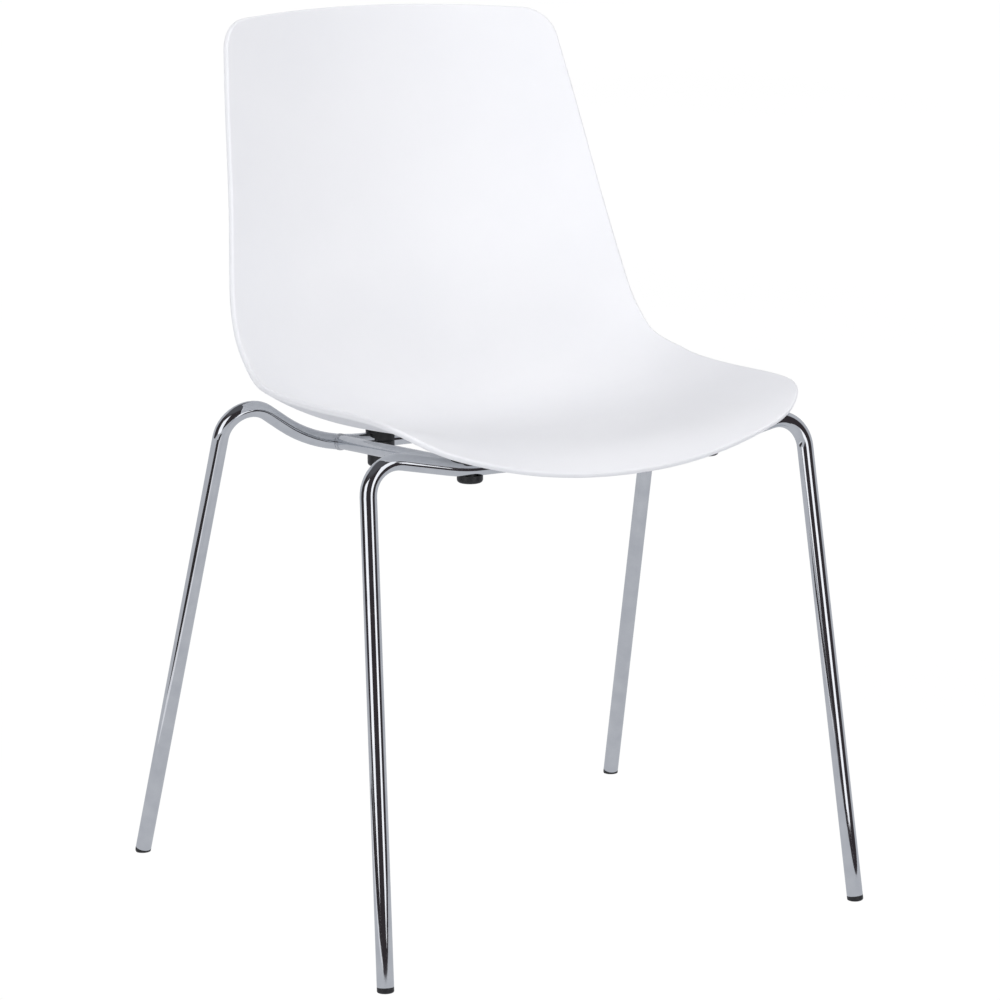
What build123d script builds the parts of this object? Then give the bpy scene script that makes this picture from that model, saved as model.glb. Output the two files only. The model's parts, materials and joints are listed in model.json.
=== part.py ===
"""Stacking chair: a one-piece moulded shell on a frame of two bent leg tubes and two side rails.

Frame of the model: +Z up, the chair faces -Y, X runs across the seat.
Origin: on the floor, on the centre plane, below the middle of the overall depth.
"""
from build123d import *
import math
import os

os.makedirs("parts", exist_ok=True)

# ---- overall sizes (mm)
SEAT_HEIGHT = 481.0      # crest of the seat, behind the front lip
BACK_HEIGHT = 858.5      # top of the back, on the centre line
SHELL_WIDTH = 475.0      # across the widest part of the seat
MID_Y = -5.9             # midway between front and rear feet, ahead of the origin

# ---- shell
SHELL_T = 6.0            # wall
RIM_R = 2.0              # rounding of the rim
LIP_ARC_R = 578.0        # outline of the front lip
LIP_CORNER_R = 78.0      # front corners of the seat
LIP_INSET = 11.4         # the sides draw in by this much at the front corners
SIDE_TAPER = 0.056       # widening of the sides towards the back, mm per mm
LIP_CUT_TILT = 32.0      # slope of the seat where the lip is trimmed
TOP_ARC_R = 1080.0       # outline of the top edge
TOP_CORNER_R = 40.0      # top corners of the back
TOP_CUT_TILT = 78.0      # slope of the back at its top
BOSS_D = 18.0            # screw bosses under the seat

# ---- tubes
LEG_D = 16.0
LEG_WALL = 1.5
RAIL_D = 14.0
RAIL_WALL = 1.5
FRONT_FOOT_X = 263.1     # leg axis on the floor, from the centre plane
FRONT_FOOT_Y = -247.3    # from the mid-line of the feet
FRONT_SPLAY = 0.0492     # inward lean, mm per mm of height
FRONT_LEAN = 0.1531      # backward lean, mm per mm of height
FRONT_BEND_R = 31.0
FRONT_RUN_Z = SEAT_HEIGHT - 17.5
FRONT_SHOULDER_RISE = 19.5
FRONT_RUN_HALF = 141.0   # half length of the level run
REAR_FOOT_X = 283.7
REAR_FOOT_Y = 247.3
REAR_SPLAY = 0.0724
REAR_LEAN = -0.295
REAR_BEND_R = 30.0
REAR_RUN_Z = SEAT_HEIGHT - 46.5
REAR_SHOULDER_RISE = 71.5
REAR_RUN_HALF = 142.8
SWEEP_R = 156.0          # where each run rises to its shoulders
RAIL_FRONT_X = 133.0     # where each rail meets the front run
RAIL_REAR_X = 118.0      # and the rear run
RAIL_LIFT = 2.0          # the rear run has begun to rise where the rails meet it
WELD = 1.5               # leg of the weld
WELD_START = 3.0         # each bead's bar starts this far from the leg tube's axis

# ---- mountings
FRONT_MOUNT_X = 133.0
REAR_MOUNT_X = 70.0
FRONT_PAD_D = 24.5
REAR_PAD_D = 27.5
REAR_FLANGE_D = 31.0
PAD_FLOOR = 3.0          # pad between tube and boss
FRONT_SADDLE = 6.5       # lower face of a front pad above the tube's axis
REAR_SADDLE = 0.5
FLANGE_T = 3.0           # flange round a rear pad
FLANGE_STEP = 1.0        # its top below the end of the boss
FRONT_DROP = 14.8        # bumper below the tube's axis
REAR_DROP = 27.0
BUMPER_SETBACK = 5.5     # front bumpers sit behind the axis of the run
BUMPER_SHIFT = 2.5       # and nearer the centre plane than their screws
FRONT_BUMPER_TOP = 7.2   # its upper edge below the tube's axis
STEM_TOP = 5.5           # end of its stem below the tube's axis
BUMPER_SKIN = 2.0        # floor of the bumper below the stem
REAR_LEDGE = 4.5         # floor under the rear run that the screw pulls on
BUMPER_EDGE_R = 3.2
SCREW_D = 5.0
HEAD_D = 9.4
HEAD_H = 3.4
HEAD_EDGE_R = 0.6
HEX_R = 2.3              # corner radius of the hexagon socket
HEX_DEPTH = 2.2
TIP_CHAMFER = 0.5
TIP_SHORT = 1.0          # screw tip below the top of the insert
WASHER_D = 10.0
WASHER_T = 1.0
INSERT_D = 7.0
INSERT_H = 8.0
HOLE_D = 5.6             # screw holes
ACCESS_D = 11.0          # screwdriver access
GAP = 0.3                # moulding clearance
FIT = 0.05               # close clearance

# ---- feet
CAP_H = 4.5              # cap below the end of the tube
CAP_DEPTH = 16.0         # plug inside the tube
CAP_EDGE_R = 2.2
CAP_BELOW = 1.2          # cap drawn below the floor before its flat is cut
PLUG_CHAMFER = 1.0

# Shell sections, front lip to top edge. Each one lies in a plane across the chair through a centre
# point and two edge points:
# centre y, centre height, edge half width, edge y, edge height, power of the curve between them.
# y is from the mid-line of the feet; heights are above (or below) the crest of the seat.
SECTIONS = [
    (-256.0, -40.0, 246.0, -262.0, 17.6, 2.8),
    (-240.0, -22.5, 246.0, -248.0, 35.8, 2.8),
    (-222.0, -10.5, 246.0, -228.0, 35.1, 2.8),
    (-200.0, -2.5, 246.0, -204.0, 41.1, 2.8),
    (-175.0, 0.0, 246.0, -178.0, 43.4, 2.8),
    (-135.0, -2.0, 246.0, -138.0, 43.3, 2.8),
    (-85.0, -6.5, 244.8, -88.0, 40.0, 2.85),
    (-30.0, -12.0, 241.8, -35.0, 36.1, 2.95),
    (25.0, -17.5, 238.5, 20.0, 34.0, 2.9),
    (75.0, -21.0, 235.0, 60.0, 38.2, 2.65),
    (115.0, -19.5, 230.5, 86.4, 47.5, 2.35),
    (147.0, -9.5, 229.2, 104.1, 61.0, 2.15),
    (172.0, 11.0, 227.6, 118.8, 78.0, 2.0),
    (187.0, 41.0, 224.9, 130.5, 101.0, 2.0),
    (199.0, 81.0, 220.8, 140.5, 129.0, 2.05),
    (212.0, 139.0, 214.2, 153.7, 170.5, 2.15),
    (228.0, 219.0, 205.7, 173.8, 232.0, 2.2),
    (245.0, 299.0, 195.9, 198.9, 305.5, 2.2),
    (256.0, 351.0, 188.8, 214.7, 352.5, 2.2),
    (264.5, 391.0, 184.8, 227.7, 390.5, 2.2),
]
SECTION_STEPS = 6        # spline points on each side of the centre
DRAWN_WIDTH = 475.0      # width that the table is drawn for
DRAWN_BACK = 377.5       # the table's height from the crest to the top edge


def shell_height(dz):
    """Height of a table entry; above the seat it follows the height of the back."""
    if dz <= 40.0:
        return SEAT_HEIGHT + dz
    stretch = (BACK_HEIGHT - SEAT_HEIGHT - 40.0) / (DRAWN_BACK - 40.0)
    return SEAT_HEIGHT + 40.0 + (dz - 40.0) * stretch


def section_frame(index):
    """Plane of one section, its half width and rise, and its wall measured in that plane."""
    row = SECTIONS[index]
    before = SECTIONS[max(index - 1, 0)]
    after = SECTIONS[min(index + 1, len(SECTIONS) - 1)]
    centre = Vector(0, MID_Y + row[0], shell_height(row[1]))
    edge = Vector(0, MID_Y + row[3], shell_height(row[4]))
    up = (edge - centre).normalized()
    along = Vector(0, after[0] - before[0], shell_height(after[1]) - shell_height(before[1]))
    along = along.normalized()
    plane = Plane(origin=centre, x_dir=(1, 0, 0), z_dir=Vector(1, 0, 0).cross(up))
    normal = Vector(0, -along.Z, along.Y)
    wall = SHELL_T / max(normal.dot(up), 0.8)
    return plane, row[2] * SHELL_WIDTH / DRAWN_WIDTH, (edge - centre).length, row[5], wall


def section_curves(half, rise, power, wall):
    """Points of the sitting side and of the underside of one section."""
    upper = []
    lower = []
    for step in range(-SECTION_STEPS, SECTION_STEPS + 1):
        v = step / SECTION_STEPS
        x = half * v
        h = rise * abs(v) ** power
        slope = math.copysign(rise * power * abs(v) ** (power - 1) / half, v)
        scale = wall / math.hypot(1.0, slope)
        upper.append((x, h))
        lower.append((x + slope * scale, h - scale))
    return upper, lower


def lip_plane():
    """Plane on the slope of the lip, through its middle."""
    tilt = math.radians(LIP_CUT_TILT)
    middle = (0, MID_Y + SECTIONS[1][0], shell_height(SECTIONS[1][1]))
    return Plane(origin=middle, x_dir=(1, 0, 0), z_dir=(0, -math.sin(tilt), math.cos(tilt)))


def top_plane():
    """Plane on the slope of the back, through the middle of its top edge."""
    tilt = math.radians(TOP_CUT_TILT)
    last = SECTIONS[-1]
    y = MID_Y + last[0] - (shell_height(last[1]) - BACK_HEIGHT) / math.tan(tilt)
    return Plane(origin=(0, y, BACK_HEIGHT), x_dir=(1, 0, 0), z_dir=(0, -math.sin(tilt), math.cos(tilt)))


# ---------------------------------------------------------------- shell, before its bosses
OUTLINE_LENGTH = BACK_HEIGHT + 50.0       # past the top edge, measured in the plane of the lip
TOP_CUT = 80.0                            # depth of what is cut away above the top edge
OUTLINE_DEPTH = BACK_HEIGHT / 2           # reach of the cut above and below that plane
with BuildPart() as bare_shell:
    for number in range(len(SECTIONS)):
        frame, half_width, rise, power, wall = section_frame(number)
        top_curve, under_curve = section_curves(half_width, rise, power, wall)
        with BuildSketch(frame):
            with BuildLine():
                sitting = Spline(*top_curve)
                under = Spline(*under_curve)
                Line(sitting @ 0, under @ 0)
                Line(sitting @ 1, under @ 1)
            make_face()
    loft()
    # front lip and front corners
    with BuildSketch(lip_plane()) as seat_outline:
        with BuildLine():
            reach = SHELL_WIDTH / 2 - LIP_INSET
            sag = LIP_ARC_R - math.sqrt(LIP_ARC_R ** 2 - reach ** 2)
            rear_reach = reach + SIDE_TAPER * (OUTLINE_LENGTH - sag)
            front = ThreePointArc((-reach, sag), (0, 0), (reach, sag))
            Polyline(front @ 1, (rear_reach, OUTLINE_LENGTH), (-rear_reach, OUTLINE_LENGTH), front @ 0)
        make_face()
        fillet(seat_outline.vertices().group_by(Axis.Y)[0], LIP_CORNER_R)
    extrude(amount=OUTLINE_DEPTH, both=True, mode=Mode.INTERSECT)
    # top outline
    with BuildSketch(top_plane()):
        with BuildLine():
            reach = 0.65 * SHELL_WIDTH
            drop = TOP_ARC_R - math.sqrt(TOP_ARC_R ** 2 - reach ** 2)
            crown = ThreePointArc((-reach, -drop), (0, 0), (reach, -drop))
            Polyline(crown @ 1, (reach, TOP_CUT), (-reach, TOP_CUT), crown @ 0)
        make_face()
    extrude(amount=1.5 * TOP_CUT, both=True, mode=Mode.SUBTRACT)
    corners = bare_shell.edges().filter_by(lambda edge: edge.length < 2 * SHELL_T)
    fillet(corners.sort_by(Axis.Z)[-2:], TOP_CORNER_R)
    rim = bare_shell.edges().filter_by(lambda edge: edge.length > 2 * SHELL_T)
    fillet(rim, RIM_R)

# ---------------------------------------------------------------- leg tubes
front_slope = math.hypot(1.0, FRONT_LEAN)
rear_slope = math.hypot(1.0, REAR_LEAN)
FRONT_RUN_Y = MID_Y + FRONT_FOOT_Y + FRONT_LEAN * FRONT_RUN_Z
REAR_RUN_Y = MID_Y + REAR_FOOT_Y + REAR_LEAN * REAR_RUN_Z
front_plane = Plane(
    origin=(0, MID_Y + FRONT_FOOT_Y, 0),
    x_dir=(1, 0, 0),
    z_dir=(0, -1.0, FRONT_LEAN),
)
rear_plane = Plane(
    origin=(0, MID_Y + REAR_FOOT_Y, 0),
    x_dir=(1, 0, 0),
    z_dir=(0, -1.0, REAR_LEAN),
)


def leg_x(foot_x, splay, z):
    """Distance of a leg's axis from the centre plane at a height."""
    return foot_x - splay * z


def tube_points(foot_x, splay, shoulder_z, run_half, run_z, slope):
    """Corners of a leg tube's axis, in its own plane, from the left foot to the right foot."""
    half = [
        (leg_x(foot_x, splay, CAP_H), CAP_H * slope),
        (leg_x(foot_x, splay, shoulder_z), shoulder_z * slope),
        (run_half, run_z * slope),
    ]
    left = [(-x, height) for x, height in half]
    return left + half[::-1]


def tube_axis(plane, points, bend, sweep_radius):
    """Axis of a leg tube as straight runs joined by arcs."""
    with BuildLine(plane) as axis:
        FilletPolyline(*points, radius=[bend, sweep_radius, sweep_radius, bend])
    return axis.line


def round_bar(path, diameter, bore=0.0):
    """Bar or tube that follows a path."""
    with BuildPart() as bar:
        with BuildSketch(Plane(origin=path @ 0, z_dir=path % 0)):
            Circle(diameter / 2)
            if bore > 0:
                Circle(bore / 2, mode=Mode.SUBTRACT)
        sweep(path=path)
    return bar.part


front_axis = tube_axis(
    front_plane,
    tube_points(
        FRONT_FOOT_X,
        FRONT_SPLAY,
        FRONT_RUN_Z + FRONT_SHOULDER_RISE,
        FRONT_RUN_HALF,
        FRONT_RUN_Z,
        front_slope,
    ),
    FRONT_BEND_R,
    SWEEP_R,
)
rear_axis = tube_axis(
    rear_plane,
    tube_points(
        REAR_FOOT_X,
        REAR_SPLAY,
        REAR_RUN_Z + REAR_SHOULDER_RISE,
        REAR_RUN_HALF,
        REAR_RUN_Z,
        rear_slope,
    ),
    REAR_BEND_R,
    SWEEP_R,
)
front_bar = round_bar(front_axis, LEG_D)
rear_bar = round_bar(rear_axis, LEG_D)

with BuildPart() as front_leg_tube:
    add(round_bar(front_axis, LEG_D, LEG_D - 2 * LEG_WALL))
    # screw hole in the top wall, wider access hole in the bottom wall
    with BuildSketch(Plane.XY.offset(FRONT_RUN_Z)):
        with Locations((-FRONT_MOUNT_X, FRONT_RUN_Y), (FRONT_MOUNT_X, FRONT_RUN_Y)):
            Circle(HOLE_D / 2)
    extrude(amount=LEG_D, mode=Mode.SUBTRACT)
    with BuildSketch(Plane.XY.offset(FRONT_RUN_Z)):
        with Locations((-FRONT_MOUNT_X, FRONT_RUN_Y), (FRONT_MOUNT_X, FRONT_RUN_Y)):
            Circle(ACCESS_D / 2)
    extrude(amount=-LEG_D, mode=Mode.SUBTRACT)

with BuildPart() as rear_leg_tube:
    add(round_bar(rear_axis, LEG_D, LEG_D - 2 * LEG_WALL))
    with BuildSketch(Plane.XY.offset(REAR_RUN_Z)):
        with Locations((-REAR_MOUNT_X, REAR_RUN_Y), (REAR_MOUNT_X, REAR_RUN_Y)):
            Circle(HOLE_D / 2)
    extrude(amount=LEG_D, both=True, mode=Mode.SUBTRACT)


# ---------------------------------------------------------------- side rails and their welds
def rail_plane(side):
    """Plane at the rail's rear end, across its axis."""
    start = Vector(side * RAIL_REAR_X, REAR_RUN_Y, REAR_RUN_Z + RAIL_LIFT)
    end = Vector(side * RAIL_FRONT_X, FRONT_RUN_Y, FRONT_RUN_Z)
    return Plane(origin=start, z_dir=end - start), (end - start).length


def rail_bar(side, diameter, bore=0.0, skip=0.0):
    """Straight bar or tube along one rail, from tube axis to tube axis."""
    plane, length = rail_plane(side)
    with BuildPart() as bar:
        with BuildSketch(plane.offset(skip)):
            Circle(diameter / 2)
            if bore > 0:
                Circle(bore / 2, mode=Mode.SUBTRACT)
        extrude(amount=length - 2 * skip)
    return bar.part


rail_left_bar = rail_bar(-1, RAIL_D)
rail_right_bar = rail_bar(1, RAIL_D)

with BuildPart() as side_rail_left:
    add(rail_bar(-1, RAIL_D, RAIL_D - 2 * RAIL_WALL))
    add(front_bar, mode=Mode.SUBTRACT)
    add(rear_bar, mode=Mode.SUBTRACT)

with BuildPart() as side_rail_right:
    add(rail_bar(1, RAIL_D, RAIL_D - 2 * RAIL_WALL))
    add(front_bar, mode=Mode.SUBTRACT)
    add(rear_bar, mode=Mode.SUBTRACT)

with BuildPart() as weld_zone:
    add(round_bar(front_axis, LEG_D + 2 * WELD))
    add(round_bar(rear_axis, LEG_D + 2 * WELD))

with BuildPart() as weld_beads:
    add(rail_bar(-1, RAIL_D + 2 * WELD, skip=WELD_START))
    add(rail_bar(1, RAIL_D + 2 * WELD, skip=WELD_START))
    add(weld_zone.part, mode=Mode.INTERSECT)
    add(rail_left_bar, mode=Mode.SUBTRACT)
    add(rail_right_bar, mode=Mode.SUBTRACT)
    add(front_bar, mode=Mode.SUBTRACT)
    add(rear_bar, mode=Mode.SUBTRACT)


# ---------------------------------------------------------------- bosses of the shell
def under_shell(x, y, diameter, bottom):
    """Upright cylinder from a height up to the shell's underside."""
    with BuildPart() as post:
        with BuildSketch(Plane.XY.offset(bottom)):
            with Locations((x, y)):
                Circle(diameter / 2)
        extrude(amount=80)
        add(bare_shell.part, mode=Mode.SUBTRACT)
    return post.solids().sort_by(Axis.Z)[0]


FRONT_BOSS_Z = FRONT_RUN_Z + LEG_D / 2 + PAD_FLOOR
REAR_BOSS_Z = REAR_RUN_Z + LEG_D / 2 + PAD_FLOOR
FRONT_MOUNTS = [(-FRONT_MOUNT_X, FRONT_RUN_Y), (FRONT_MOUNT_X, FRONT_RUN_Y)]
REAR_MOUNTS = [(-REAR_MOUNT_X, REAR_RUN_Y), (REAR_MOUNT_X, REAR_RUN_Y)]

with BuildPart() as seat_shell:
    add(bare_shell.part)
    for x, y in FRONT_MOUNTS:
        add(under_shell(x, y, BOSS_D, FRONT_BOSS_Z))
    for x, y in REAR_MOUNTS:
        add(under_shell(x, y, BOSS_D, REAR_BOSS_Z))
    # blind holes for the inserts
    with BuildSketch(Plane.XY.offset(FRONT_BOSS_Z)):
        with Locations(*FRONT_MOUNTS):
            Circle(INSERT_D / 2 + FIT)
    extrude(amount=INSERT_H + GAP, mode=Mode.SUBTRACT)
    with BuildSketch(Plane.XY.offset(REAR_BOSS_Z)):
        with Locations(*REAR_MOUNTS):
            Circle(INSERT_D / 2 + FIT)
    extrude(amount=INSERT_H + GAP, mode=Mode.SUBTRACT)


# ---------------------------------------------------------------- pads between tubes and shell
weld_clearance = [rail_bar(side, RAIL_D + 2 * WELD + 2 * GAP) for side in (-1, 1)]


def mount_pad(x, y, diameter, bottom, boss_z, bar, flange_d=0.0):
    """Spacer over a tube: saddle below, socket for the boss above, cut to the shell's underside."""
    with BuildPart() as pad:
        add(under_shell(x, y, diameter, bottom))
        if flange_d > 0:
            with BuildSketch(Plane.XY.offset(boss_z - FLANGE_STEP)):
                with Locations((x, y)):
                    Circle(flange_d / 2)
            extrude(amount=-FLANGE_T)
        with BuildSketch(Plane.XY.offset(boss_z)):
            with Locations((x, y)):
                Circle(BOSS_D / 2 + FIT)
        extrude(amount=80, mode=Mode.SUBTRACT)
        with BuildSketch(Plane.XY.offset(bottom)):
            with Locations((x, y)):
                Circle(HOLE_D / 2)
        extrude(amount=80, mode=Mode.SUBTRACT)
        add(bar, mode=Mode.SUBTRACT)
        for clearance in weld_clearance:
            add(clearance, mode=Mode.SUBTRACT)
    return pad.part


def front_pad(x):
    return mount_pad(x, FRONT_RUN_Y, FRONT_PAD_D, FRONT_RUN_Z + FRONT_SADDLE, FRONT_BOSS_Z, front_bar)


def rear_pad(x):
    bottom = REAR_RUN_Z + REAR_SADDLE
    return mount_pad(x, REAR_RUN_Y, REAR_PAD_D, bottom, REAR_BOSS_Z, rear_bar, REAR_FLANGE_D)


with BuildPart() as front_pad_left:
    add(front_pad(-FRONT_MOUNT_X))

with BuildPart() as front_pad_right:
    add(front_pad(FRONT_MOUNT_X))

with BuildPart() as rear_pad_left:
    add(rear_pad(-REAR_MOUNT_X))

with BuildPart() as rear_pad_right:
    add(rear_pad(REAR_MOUNT_X))


# ---------------------------------------------------------------- bumpers under the tubes
def front_bumper(side):
    """Low puck behind and below the front run; its stem plugs the access hole of the tube."""
    base = FRONT_RUN_Z - FRONT_DROP
    centre = (side * (FRONT_MOUNT_X - BUMPER_SHIFT), FRONT_RUN_Y + BUMPER_SETBACK)
    with BuildPart() as puck:
        with BuildSketch(Plane.XY.offset(base)):
            with Locations(centre):
                Circle(FRONT_PAD_D / 2)
        extrude(amount=FRONT_DROP - FRONT_BUMPER_TOP)
        fillet(puck.edges().group_by(Axis.Z)[0], BUMPER_EDGE_R)
        add(front_bar, mode=Mode.SUBTRACT)
        with BuildSketch(Plane.XY.offset(base + BUMPER_SKIN)):
            with Locations((side * FRONT_MOUNT_X, FRONT_RUN_Y)):
                Circle(ACCESS_D / 2 - FIT)
        extrude(amount=FRONT_DROP - BUMPER_SKIN - STEM_TOP)
        for clearance in weld_clearance:
            add(clearance, mode=Mode.SUBTRACT)
    return puck.part


with BuildPart() as front_bumper_left:
    add(front_bumper(-1))

with BuildPart() as front_bumper_right:
    add(front_bumper(1))


REAR_LEDGE_Z = REAR_RUN_Z - LEG_D / 2 - REAR_LEDGE


def rear_bumper(x):
    """Deep block under the rear run, with a counterbore for the screw."""
    base = REAR_RUN_Z - REAR_DROP
    with BuildPart() as block:
        with BuildSketch(Plane.XY.offset(base)):
            with Locations((x, REAR_RUN_Y)):
                Circle(REAR_PAD_D / 2)
        extrude(amount=REAR_DROP - REAR_SADDLE)
        fillet(block.edges().group_by(Axis.Z)[0], BUMPER_EDGE_R)
        with BuildSketch(Plane.XY.offset(base)):
            with Locations((x, REAR_RUN_Y)):
                Circle(ACCESS_D / 2)
        extrude(amount=REAR_LEDGE_Z - base, mode=Mode.SUBTRACT)
        with BuildSketch(Plane.XY.offset(base)):
            with Locations((x, REAR_RUN_Y)):
                Circle(HOLE_D / 2)
        extrude(amount=REAR_DROP, mode=Mode.SUBTRACT)
        add(rear_bar, mode=Mode.SUBTRACT)
    return block.part


with BuildPart() as rear_bumper_left:
    add(rear_bumper(-REAR_MOUNT_X))

with BuildPart() as rear_bumper_right:
    add(rear_bumper(REAR_MOUNT_X))

# ---------------------------------------------------------------- screws, washers and inserts
# the front washers sit across the bore of the tube, where it is as wide as they are
bore_r = LEG_D / 2 - LEG_WALL
FRONT_WASHER_Z = FRONT_RUN_Z + math.sqrt(bore_r ** 2 - (WASHER_D / 2) ** 2) - WASHER_T - FIT
REAR_WASHER_Z = REAR_LEDGE_Z - WASHER_T


def screw(x, y, washer_z, tip_z):
    """Socket-head screw: head under the washer, shank up to its tip."""
    with BuildPart() as bolt:
        with BuildSketch(Plane.XY.offset(washer_z - HEAD_H)):
            with Locations((x, y)):
                Circle(HEAD_D / 2)
        extrude(amount=HEAD_H)
        fillet(bolt.edges().group_by(Axis.Z)[0], HEAD_EDGE_R)
        with BuildSketch(Plane.XY.offset(washer_z)):
            with Locations((x, y)):
                Circle(SCREW_D / 2)
        extrude(amount=tip_z - washer_z)
        chamfer(bolt.edges().group_by(Axis.Z)[-1], TIP_CHAMFER)
        with BuildSketch(Plane.XY.offset(washer_z - HEAD_H)):
            with Locations((x, y)):
                RegularPolygon(radius=HEX_R, side_count=6)
        extrude(amount=HEX_DEPTH, mode=Mode.SUBTRACT)
    return bolt.part


def ring(x, y, z, outer, inner, height):
    """Flat ring: a washer or the body of an insert."""
    with BuildPart() as piece:
        with BuildSketch(Plane.XY.offset(z)):
            with Locations((x, y)):
                Circle(outer / 2)
                Circle(inner / 2, mode=Mode.SUBTRACT)
        extrude(amount=height)
    return piece.part


with BuildPart() as mount_screws:
    for x, y in FRONT_MOUNTS:
        add(screw(x, y, FRONT_WASHER_Z, FRONT_BOSS_Z + INSERT_H - TIP_SHORT))
    for x, y in REAR_MOUNTS:
        add(screw(x, y, REAR_WASHER_Z, REAR_BOSS_Z + INSERT_H - TIP_SHORT))

with BuildPart() as mount_washers:
    for x, y in FRONT_MOUNTS:
        add(ring(x, y, FRONT_WASHER_Z, WASHER_D, SCREW_D + 2 * FIT, WASHER_T))
    for x, y in REAR_MOUNTS:
        add(ring(x, y, REAR_WASHER_Z, WASHER_D, SCREW_D + 2 * FIT, WASHER_T))

with BuildPart() as threaded_inserts:
    for x, y in FRONT_MOUNTS:
        add(ring(x, y, FRONT_BOSS_Z, INSERT_D, SCREW_D + 2 * FIT, INSERT_H))
    for x, y in REAR_MOUNTS:
        add(ring(x, y, REAR_BOSS_Z, INSERT_D, SCREW_D + 2 * FIT, INSERT_H))


# ---------------------------------------------------------------- foot caps
def foot_cap(side, foot_x, foot_y, splay, lean):
    """Plastic cap: a low dome below the tube, a flat where it stands, a plug inside the tube."""
    axis = Vector(-side * splay, lean, 1.0).normalized()
    floor_point = Vector(side * foot_x, MID_Y + foot_y, 0)
    across = Plane(origin=floor_point, z_dir=axis)
    end = CAP_H / axis.Z
    with BuildPart() as cap:
        with BuildSketch(across.offset(-CAP_BELOW)):
            Circle(LEG_D / 2)
        extrude(amount=end + CAP_BELOW)
        fillet(cap.edges().sort_by(Axis(floor_point, axis))[0], CAP_EDGE_R)
        split(bisect_by=Plane.XY, keep=Keep.TOP)
        with BuildSketch(across.offset(end)) as plug:
            Circle(LEG_D / 2 - LEG_WALL - FIT)
        extrude(amount=CAP_DEPTH)
        chamfer(cap.edges().sort_by(Axis(floor_point, axis))[-1], PLUG_CHAMFER)
    return cap.part


with BuildPart() as foot_front_left:
    add(foot_cap(-1, FRONT_FOOT_X, FRONT_FOOT_Y, FRONT_SPLAY, FRONT_LEAN))

with BuildPart() as foot_front_right:
    add(foot_cap(1, FRONT_FOOT_X, FRONT_FOOT_Y, FRONT_SPLAY, FRONT_LEAN))

with BuildPart() as foot_rear_left:
    add(foot_cap(-1, REAR_FOOT_X, REAR_FOOT_Y, REAR_SPLAY, REAR_LEAN))

with BuildPart() as foot_rear_right:
    add(foot_cap(1, REAR_FOOT_X, REAR_FOOT_Y, REAR_SPLAY, REAR_LEAN))

# ---------------------------------------------------------------- labels and files
PIECES = {
    "seat_shell": seat_shell,
    "front_leg_tube": front_leg_tube,
    "rear_leg_tube": rear_leg_tube,
    "side_rail_left": side_rail_left,
    "side_rail_right": side_rail_right,
    "weld_beads": weld_beads,
    "front_pad_left": front_pad_left,
    "front_pad_right": front_pad_right,
    "rear_pad_left": rear_pad_left,
    "rear_pad_right": rear_pad_right,
    "front_bumper_left": front_bumper_left,
    "front_bumper_right": front_bumper_right,
    "rear_bumper_left": rear_bumper_left,
    "rear_bumper_right": rear_bumper_right,
    "mount_screws": mount_screws,
    "mount_washers": mount_washers,
    "threaded_inserts": threaded_inserts,
    "foot_front_left": foot_front_left,
    "foot_front_right": foot_front_right,
    "foot_rear_left": foot_rear_left,
    "foot_rear_right": foot_rear_right,
}
for name, piece in PIECES.items():
    piece.part.label = name
    export_step(piece.part, "parts/" + name + ".step")
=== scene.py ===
import json
import math

import bmesh
import bpy
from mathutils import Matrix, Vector

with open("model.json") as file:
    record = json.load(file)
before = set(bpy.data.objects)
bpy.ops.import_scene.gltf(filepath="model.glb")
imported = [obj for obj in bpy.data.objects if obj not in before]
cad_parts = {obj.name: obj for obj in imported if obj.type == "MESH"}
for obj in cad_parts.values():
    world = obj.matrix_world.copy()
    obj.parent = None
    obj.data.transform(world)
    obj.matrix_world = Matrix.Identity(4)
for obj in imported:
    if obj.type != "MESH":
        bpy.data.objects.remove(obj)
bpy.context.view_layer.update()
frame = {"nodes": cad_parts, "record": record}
nodes = frame["nodes"]
scene = bpy.context.scene

TURN = 0.521655          # the camera's turn about the vertical, radians
TILT = 0.198896          # how far it looks down
FLOOR_R = 40.0
BACKDROP_R = 39.0
# radius of the glowing grey disc of painted shade on the floor round the chair
FLOOR_SHADE_R = 0.80

# ------------------------------------------------------------------ helpers for node materials


def new_material(name):
    mat = bpy.data.materials.new(name)
    mat.use_nodes = True
    tree = mat.node_tree
    for node in list(tree.nodes):
        tree.nodes.remove(node)
    out = tree.nodes.new("ShaderNodeOutputMaterial")
    bsdf = tree.nodes.new("ShaderNodeBsdfPrincipled")
    tree.links.new(bsdf.outputs["BSDF"], out.inputs["Surface"])
    coord = tree.nodes.new("ShaderNodeTexCoord")
    return mat, tree, bsdf, coord


def noise(tree, vector, scale, detail=2.0, rough=0.5, distortion=0.0):
    node = tree.nodes.new("ShaderNodeTexNoise")
    node.inputs["Scale"].default_value = scale
    node.inputs["Detail"].default_value = detail
    node.inputs["Roughness"].default_value = rough
    node.inputs["Distortion"].default_value = distortion
    tree.links.new(vector, node.inputs["Vector"])
    return node.outputs["Fac"]


def ramp(tree, fac, stops, interpolation="LINEAR"):
    node = tree.nodes.new("ShaderNodeValToRGB")
    node.color_ramp.interpolation = interpolation
    elements = node.color_ramp.elements
    while len(elements) > 1:
        elements.remove(elements[-1])
    elements[0].position = stops[0][0]
    elements[0].color = (*stops[0][1], 1.0)
    for position, colour in stops[1:]:
        element = elements.new(position)
        element.color = (*colour, 1.0)
    tree.links.new(fac, node.inputs["Fac"])
    return node.outputs["Color"]


def to_range(tree, fac, low, high, from_low=0.0, from_high=1.0):
    node = tree.nodes.new("ShaderNodeMapRange")
    node.inputs["From Min"].default_value = from_low
    node.inputs["From Max"].default_value = from_high
    node.inputs["To Min"].default_value = low
    node.inputs["To Max"].default_value = high
    tree.links.new(fac, node.inputs["Value"])
    return node.outputs["Result"]


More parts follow.
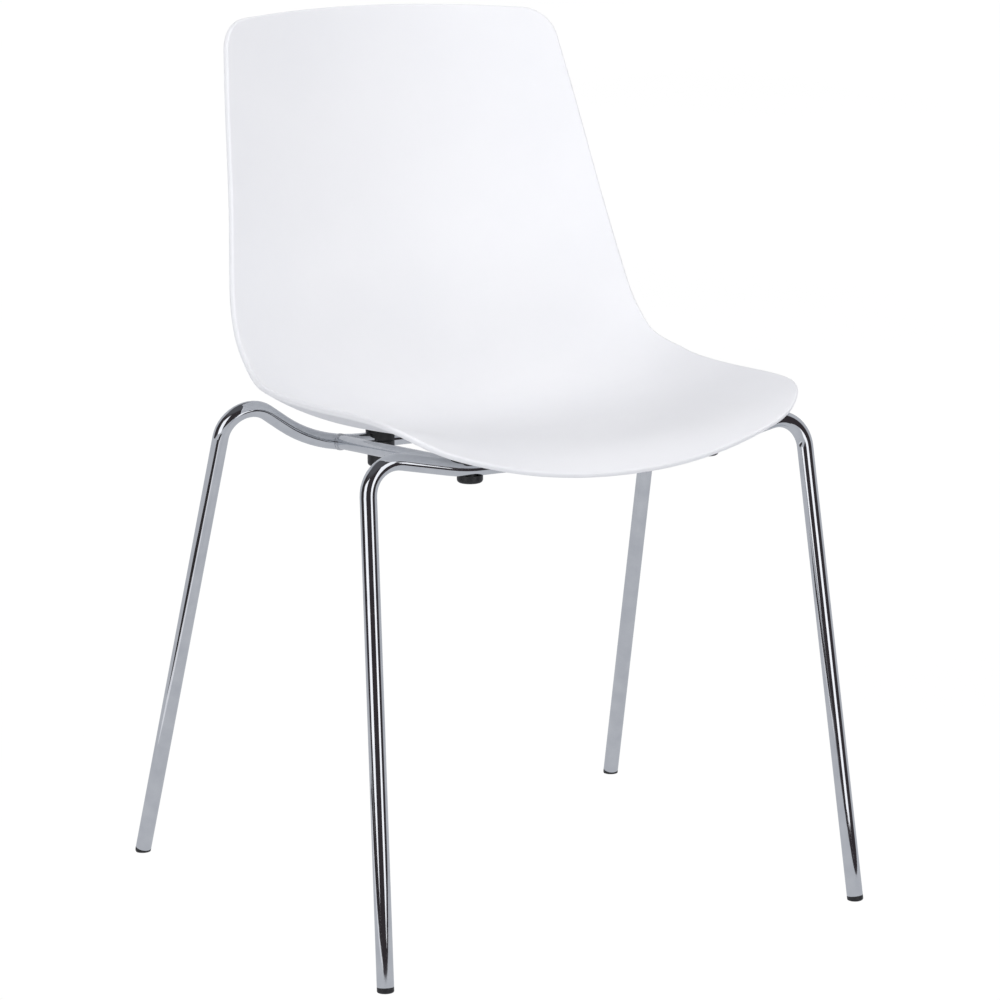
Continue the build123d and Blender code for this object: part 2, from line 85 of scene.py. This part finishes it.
def bump(tree, bsdf, height, strength, distance):
    node = tree.nodes.new("ShaderNodeBump")
    node.inputs["Strength"].default_value = strength
    node.inputs["Distance"].default_value = distance
    tree.links.new(height, node.inputs["Height"])
    tree.links.new(node.outputs["Normal"], bsdf.inputs["Normal"])


# ------------------------------------------------------------------ materials


def shell_material():
    """Satin white moulded plastic: a very fine spark-eroded grain and faint flow variation."""
    mat, tree, bsdf, coord = new_material("shell_white")
    where = coord.outputs["Object"]
    flow = noise(tree, where, 7.0, 3.0)
    colour = ramp(tree, flow, [(0.35, (0.865, 0.872, 0.885)), (0.65, (0.885, 0.890, 0.900))])
    tree.links.new(colour, bsdf.inputs["Base Color"])
    grain = noise(tree, where, 2600.0, 2.0, 0.6)
    tree.links.new(to_range(tree, grain, 0.40, 0.50, 0.3, 0.7), bsdf.inputs["Roughness"])
    bump(tree, bsdf, grain, 0.25, 0.00006)
    bsdf.inputs["IOR"].default_value = 1.46
    bsdf.inputs["Specular IOR Level"].default_value = 0.45
    bsdf.inputs["Subsurface Weight"].default_value = 0.08
    bsdf.inputs["Subsurface Radius"].default_value = (0.006, 0.006, 0.006)
    bsdf.inputs["Subsurface Scale"].default_value = 0.5
    return mat


def chrome_material():
    """Bright chrome plate on drawn tube: faint haze and slight waviness."""
    mat, tree, bsdf, coord = new_material("chrome")
    where = coord.outputs["Object"]
    haze = noise(tree, where, 60.0, 4.0)
    colour = ramp(tree, haze, [(0.3, (0.70, 0.72, 0.75)), (0.7, (0.78, 0.80, 0.82))])
    tree.links.new(colour, bsdf.inputs["Base Color"])
    tree.links.new(to_range(tree, haze, 0.03, 0.07, 0.3, 0.7), bsdf.inputs["Roughness"])
    wave = noise(tree, where, 45.0, 1.0)
    bump(tree, bsdf, wave, 0.10, 0.0006)
    bsdf.inputs["Metallic"].default_value = 1.0
    return mat


def weld_material():
    """Chrome over a fillet weld: rippled."""
    mat, tree, bsdf, coord = new_material("weld")
    where = coord.outputs["Object"]
    ripple = noise(tree, where, 420.0, 2.0)
    colour = ramp(tree, ripple, [(0.3, (0.55, 0.56, 0.58)), (0.7, (0.75, 0.76, 0.78))])
    tree.links.new(colour, bsdf.inputs["Base Color"])
    tree.links.new(to_range(tree, ripple, 0.12, 0.28, 0.3, 0.7), bsdf.inputs["Roughness"])
    bump(tree, bsdf, ripple, 0.6, 0.0006)
    bsdf.inputs["Metallic"].default_value = 1.0
    return mat


def black_plastic(name, base, rough, grain_scale, strength):
    """Moulded black plastic with a fine grain."""
    mat, tree, bsdf, coord = new_material(name)
    where = coord.outputs["Object"]
    grain = noise(tree, where, grain_scale, 3.0, 0.6)
    low = tuple(c * 0.75 for c in base)
    high = tuple(c * 1.35 for c in base)
    tree.links.new(ramp(tree, grain, [(0.3, low), (0.7, high)]), bsdf.inputs["Base Color"])
    tree.links.new(to_range(tree, grain, rough - 0.06, rough + 0.06, 0.3, 0.7), bsdf.inputs["Roughness"])
    bump(tree, bsdf, grain, strength, 0.0002)
    return mat


def metal(name, base, rough, scale):
    """Plain small hardware: slightly uneven tone and sheen."""
    mat, tree, bsdf, coord = new_material(name)
    where = coord.outputs["Object"]
    grain = noise(tree, where, scale, 3.0)
    low = tuple(c * 0.85 for c in base)
    high = tuple(min(1.0, c * 1.1) for c in base)
    tree.links.new(ramp(tree, grain, [(0.3, low), (0.7, high)]), bsdf.inputs["Base Color"])
    tree.links.new(to_range(tree, grain, rough - 0.08, rough + 0.08, 0.3, 0.7), bsdf.inputs["Roughness"])
    bump(tree, bsdf, grain, 0.15, 0.0001)
    bsdf.inputs["Metallic"].default_value = 1.0
    return mat


materials = {
    "shell_white": shell_material(),
    "chrome": chrome_material(),
    "weld": weld_material(),
    "black_plastic": black_plastic("black_plastic", (0.012, 0.012, 0.013), 0.48, 1800.0, 0.3),
    "black_bumper": black_plastic("black_bumper", (0.014, 0.014, 0.015), 0.40, 1500.0, 0.25),
    "foot_black": black_plastic("foot_black", (0.012, 0.012, 0.013), 0.45, 1400.0, 0.3),
    "zinc_steel": metal("zinc_steel", (0.60, 0.61, 0.62), 0.32, 700.0),
    "insert_brass": metal("insert_brass", (0.72, 0.54, 0.25), 0.30, 600.0),
}
slot_of = {entry["node"]: entry["material_slot"] for entry in frame["record"]["subparts"]}
for name, obj in nodes.items():
    obj.data.materials.clear()
    obj.data.materials.append(materials[slot_of[name]])

# ------------------------------------------------------------------ camera

camera_data = bpy.data.cameras.new("camera")
camera = bpy.data.objects.new("camera", camera_data)
scene.collection.objects.link(camera)
camera.location = (-1.6774, -2.9244, 1.1085)
camera.rotation_euler = (math.radians(90.0) - TILT, 0.0, -TURN)
camera_data.sensor_width = 36.0
camera_data.lens = 125.075
camera_data.shift_x = -0.0002
camera_data.shift_y = -0.0434
camera_data.clip_end = 50.0
scene.camera = camera

# ------------------------------------------------------------------ floor, backdrop and lights
# What the camera sees is a plain white floor and backdrop. What the chair reflects is the
# rest of the studio: a glowing pale grey disc of limited size that is painted shade on the floor round
# the chair, a grey sweep behind, a dark room in front with two upright soft boxes, and a dark ceiling.


def link(obj):
    scene.collection.objects.link(obj)
    return obj


def show_only(obj, camera_rays, others):
    obj.visible_camera = camera_rays
    obj.visible_diffuse = others
    obj.visible_glossy = others
    obj.visible_transmission = others
    obj.visible_volume_scatter = False
    obj.visible_shadow = False


def glow_material(name, low, high, scale):
    """Even glow with a trace of unevenness."""
    mat = bpy.data.materials.new(name)
    mat.use_nodes = True
    tree = mat.node_tree
    for node in list(tree.nodes):
        tree.nodes.remove(node)
    out = tree.nodes.new("ShaderNodeOutputMaterial")
    glow = tree.nodes.new("ShaderNodeEmission")
    coord = tree.nodes.new("ShaderNodeTexCoord")
    tone = noise(tree, coord.outputs["Object"], scale, 2.0)
    tree.links.new(ramp(tree, tone, [(0.3, low), (0.7, high)]), glow.inputs["Color"])
    tree.links.new(glow.outputs["Emission"], out.inputs["Surface"])
    return mat


def disc(name, radius, z, mat):
    mesh = bpy.data.meshes.new(name)
    count = 96
    ring = []
    for step in range(count):
        angle = math.tau * step / count
        ring.append((radius * math.cos(angle), radius * math.sin(angle), z))
    mesh.from_pydata(ring, [], [tuple(range(count))])
    mesh.materials.append(mat)
    obj = link(bpy.data.objects.new(name, mesh))
    return obj


white_glow = glow_material("white_glow", (1.0, 1.0, 1.0), (1.02, 1.02, 1.02), 0.5)
floor = disc("floor", FLOOR_R, -0.0006, white_glow)
show_only(floor, True, False)

# glowing grey disc that only reflections and bounce light see: painted shade on the floor round the
# chair, a shaded copy of the white floor
floor_shade_grey = glow_material("painted_floor_shade", (0.525, 0.535, 0.570), (0.55, 0.56, 0.595), 1.5)
painted_floor_shade = disc("painted_floor_shade", FLOOR_SHADE_R, -0.0012, floor_shade_grey)
show_only(painted_floor_shade, False, True)

dome_mesh = bpy.data.meshes.new("backdrop")
bm = bmesh.new()
bmesh.ops.create_uvsphere(bm, u_segments=48, v_segments=24, radius=BACKDROP_R)
bm.to_mesh(dome_mesh)
bm.free()
dome_mesh.materials.append(white_glow)
dome = link(bpy.data.objects.new("backdrop", dome_mesh))
show_only(dome, True, False)

# the studio round the chair: directions are taken across and towards the camera
ACROSS = Vector((math.cos(TURN), -math.sin(TURN), 0.0))
TOWARD = Vector((-math.sin(TURN), -math.cos(TURN), 0.0))
GREY = (0.525, 0.535, 0.570)
DARK = (0.040, 0.034, 0.038)
CEILING = (0.10, 0.10, 0.11)


def reflected_panel(name, corners, mat):
    """Flat panel that only reflections see."""
    mesh = bpy.data.meshes.new(name)
    mesh.from_pydata([tuple(c) for c in corners], [], [(0, 1, 2, 3)])
    mesh.materials.append(mat)
    obj = link(bpy.data.objects.new(name, mesh))
    obj.visible_camera = False
    obj.visible_diffuse = False
    obj.visible_transmission = False
    obj.visible_shadow = False
    obj.visible_volume_scatter = False
    return obj


def upright(name, near, far, low, top, mat):
    """Upright panel between two places, each (across, toward) in metres."""
    a = ACROSS * near[0] + TOWARD * near[1]
    b = ACROSS * far[0] + TOWARD * far[1]
    up = Vector((0, 0, 1))
    return reflected_panel(name, [a + up * low, b + up * low, b + up * top, a + up * top], mat)


def flat_patch(name, x0, x1, y0, y1, z, mat):
    """Level patch just above the grey floor."""
    corners = [(x0, y0, z), (x1, y0, z), (x1, y1, z), (x0, y1, z)]
    return reflected_panel(name, corners, mat)


soft_box = glow_material("soft_box", (1.16, 1.16, 1.2), (1.24, 1.24, 1.27), 2.0)
upright("soft_box_right", (0.645, 1.40), (1.45, 1.26), 0.0, 1.60, soft_box)
upright("soft_box_left", (-0.88, 1.80), (-2.75, 1.80), 0.0, 2.00, soft_box)
# glowing strip at the table's left edge, seen only in the chrome: a painted highlight of the lit edge
edge_highlight_glow = glow_material("painted_edge_highlight", (0.80, 0.80, 0.84), (0.84, 0.84, 0.88), 2.0)
# near-black sheet beyond the table edge, seen only in the chrome: painted shade standing in for the
# unlit gap and dark room
gap_shade_glow = glow_material("painted_gap_shade", (0.03, 0.026, 0.028), (0.04, 0.034, 0.036), 2.0)
flat_patch("painted_edge_highlight", -0.76, -0.60, -0.6, 0.35, -0.0010, edge_highlight_glow)
flat_patch("painted_gap_shade", -1.25, -0.76, -0.8, 0.40, -0.0010, gap_shade_glow)

world = bpy.data.worlds.new("studio")
scene.world = world
world.use_nodes = True
wt = world.node_tree
for node in list(wt.nodes):
    wt.nodes.remove(node)
w_out = wt.nodes.new("ShaderNodeOutputWorld")
w_bg = wt.nodes.new("ShaderNodeBackground")
wt.links.new(w_bg.outputs["Background"], w_out.inputs["Surface"])
w_coord = wt.nodes.new("ShaderNodeTexCoord")


def dot(vector, direction):
    node = wt.nodes.new("ShaderNodeVectorMath")
    node.operation = "DOT_PRODUCT"
    node.inputs[1].default_value = direction
    wt.links.new(vector, node.inputs[0])
    return node.outputs["Value"]


def blend(factor, low, high):
    mix = wt.nodes.new("ShaderNodeMix")
    mix.data_type = "RGBA"
    wt.links.new(factor, mix.inputs[0])
    for socket, value in ((mix.inputs[6], low), (mix.inputs[7], high)):
        if isinstance(value, tuple):
            socket.default_value = (*value, 1.0)
        else:
            wt.links.new(value, socket)
    return mix.outputs[2]


way = w_coord.outputs["Generated"]
height = dot(way, (0.0, 0.0, 1.0))
turn = wt.nodes.new("ShaderNodeMath")
turn.operation = "ARCTAN2"
wt.links.new(dot(way, ACROSS), turn.inputs[0])
wt.links.new(dot(way, TOWARD), turn.inputs[1])
around = to_range(wt, turn.outputs["Value"], 0.0, 1.0, -math.pi, math.pi)
walls = ramp(
    wt,
    around,
    [((a + 180.0) / 360.0, c) for a, c in [(-110, GREY), (-102, DARK), (92, DARK), (100, GREY)]],
)
# on the right the dark room reaches lower than elsewhere
lower = ramp(
    wt,
    around,
    [((a + 180.0) / 360.0, (v, v, v)) for a, v in [(44, 0.0), (52, 0.44), (84, 0.44), (92, 0.0)]],
)
raised = wt.nodes.new("ShaderNodeMath")
raised.operation = "ADD"
wt.links.new(height, raised.inputs[0])
wt.links.new(lower, raised.inputs[1])
with_floor = blend(to_range(wt, raised.outputs["Value"], 0.0, 1.0, -0.17, -0.13), GREY, walls)
studio = blend(to_range(wt, height, 0.0, 1.0, 0.62, 0.80), with_floor, CEILING)
wt.links.new(studio, w_bg.inputs["Color"])
w_bg.inputs["Strength"].default_value = 1.0


def area_light(name, place, aim, size_x, size_y, power, glossy=False):
    data = bpy.data.lights.new(name, "AREA")
    data.shape = "RECTANGLE"
    data.size = size_x
    data.size_y = size_y
    data.energy = power
    data.color = (0.98, 0.98, 1.0)
    obj = link(bpy.data.objects.new(name, data))
    obj.location = place
    direction = Vector(aim) - Vector(place)
    obj.rotation_euler = direction.to_track_quat("-Z", "Y").to_euler()
    obj.visible_camera = False
    obj.visible_glossy = glossy
    return obj


def studio_point(across, toward, z):
    return ACROSS * across + TOWARD * toward + Vector((0, 0, z))


# soft light on the shell; none of it shows in the chrome
area_light("key_right", studio_point(2.78, 2.88, 1.2), (0, 0, 0.6), 2.0, 4.0, 98)
area_light("key_left", studio_point(-3.04, 2.60, 1.2), (0, 0, 0.6), 2.6, 4.0, 87)
area_light("front_fill", studio_point(0.4, 3.40, 2.0), (0, 0, 0.6), 1.6, 1.6, 11)
area_light("top_fill", studio_point(0.0, 0.30, 3.2), (0, 0, 0.4), 3.0, 3.0, 45)

scene.view_settings.view_transform = "Standard"
scene.view_settings.look = "None"
